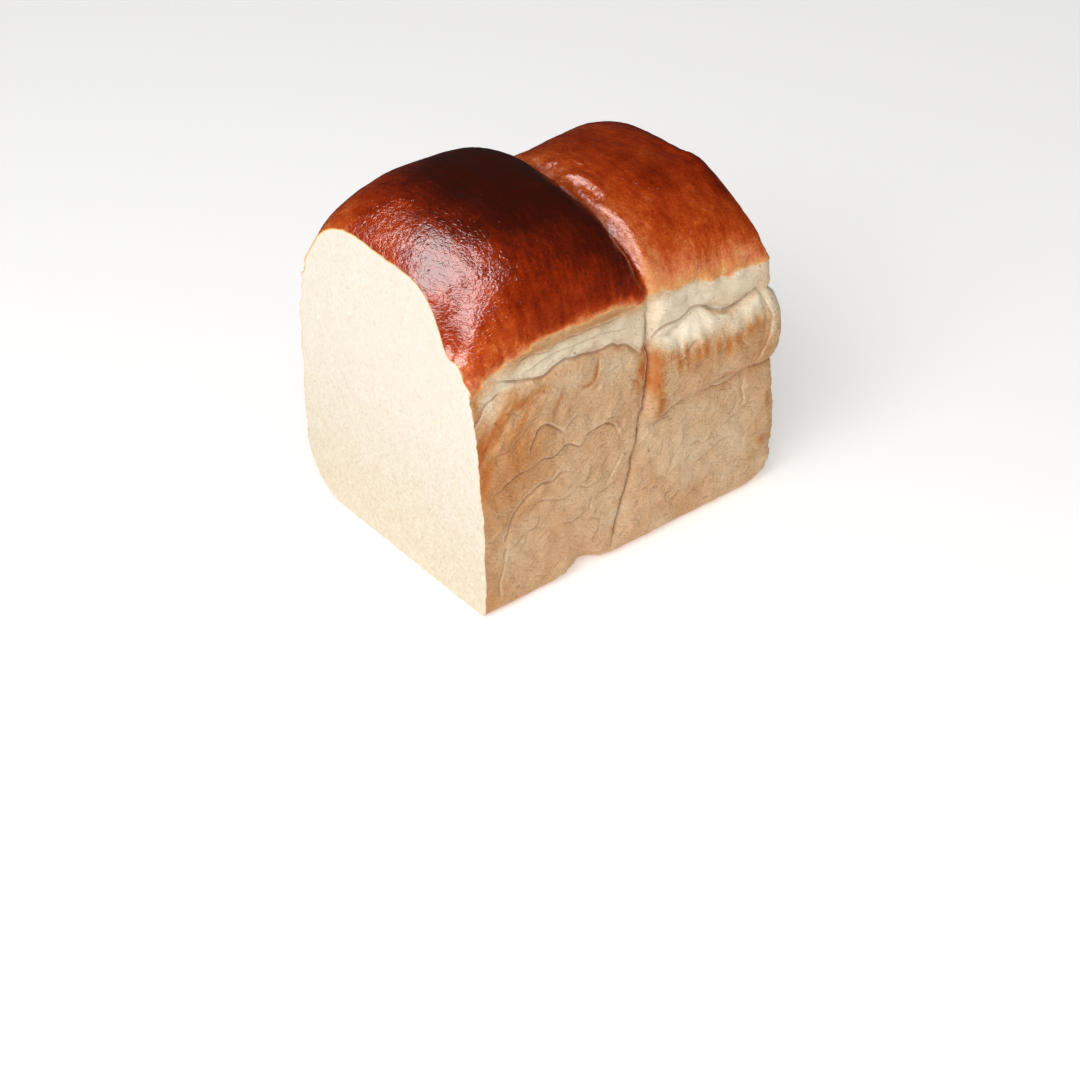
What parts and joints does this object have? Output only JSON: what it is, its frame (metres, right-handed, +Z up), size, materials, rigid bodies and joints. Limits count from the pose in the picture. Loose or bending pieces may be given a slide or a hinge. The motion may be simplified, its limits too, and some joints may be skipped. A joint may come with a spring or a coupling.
{
  "type": "tin loaf",
  "caption": "End piece of a white tin loaf with a tall and a low humped top, wrinkled brown side walls and a flat cut crumb face, standing on its flat base.",
  "frame": {"origin": "middle of the bounding box's bottom, in the plane of the flat base that the loaf stands on", "axes": "+X runs along the loaf from the cut face to the end wall, +Y across it from the front side wall to the back one, +Z up"},
  "size_m": [0.1534, 0.126, 0.1556],
  "materials": {
    "baked_bread": "satin"
  },
  "bodies": {
    "root": {"loaf": "baked_bread"}
  },
  "joints": []
}
